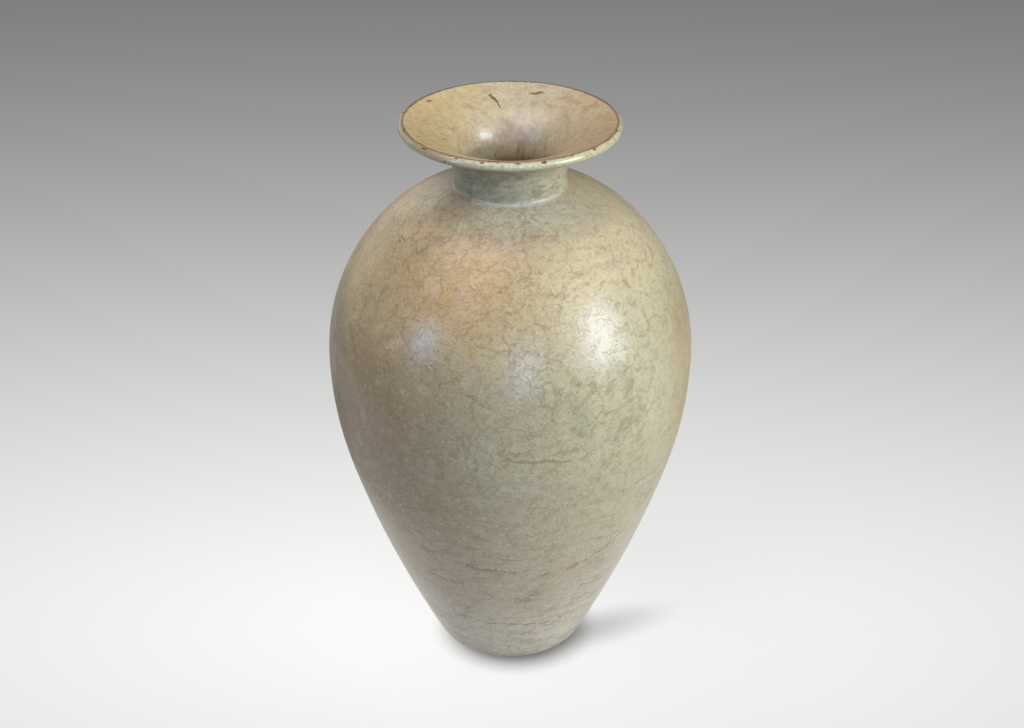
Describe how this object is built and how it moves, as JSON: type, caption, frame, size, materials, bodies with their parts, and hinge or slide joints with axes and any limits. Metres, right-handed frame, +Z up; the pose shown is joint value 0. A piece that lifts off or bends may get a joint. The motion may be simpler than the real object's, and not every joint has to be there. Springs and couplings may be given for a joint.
{
  "type": "meiping vase",
  "caption": "Tall stoneware vase with a small foot, full round shoulder, short upright neck and wide flared mouth, mottled grey-beige glaze; holds cut stems.",
  "frame": {"origin": "centre of the foot ring's underside, on the surface that the vase stands on", "axes": "+Z up along the axis of the vase; -Y towards the side that the picture shows"},
  "size_m": [0.224, 0.224, 0.36],
  "materials": {
    "stoneware": "fired brown stoneware, bare on the foot ring",
    "slip": "fired slip in the joints",
    "outer_glaze": "satin, mottled grey-beige with fine crackle lines",
    "inner_glaze": "satin, warm tan"
  },
  "bodies": {
    "root": {"lower_body": "stoneware", "upper_body": "stoneware", "neck_and_lip": "stoneware", "body_joint_slip": "slip", "neck_joint_slip": "slip", "outer_glaze": "outer_glaze", "inner_glaze": "inner_glaze"}
  },
  "joints": []
}
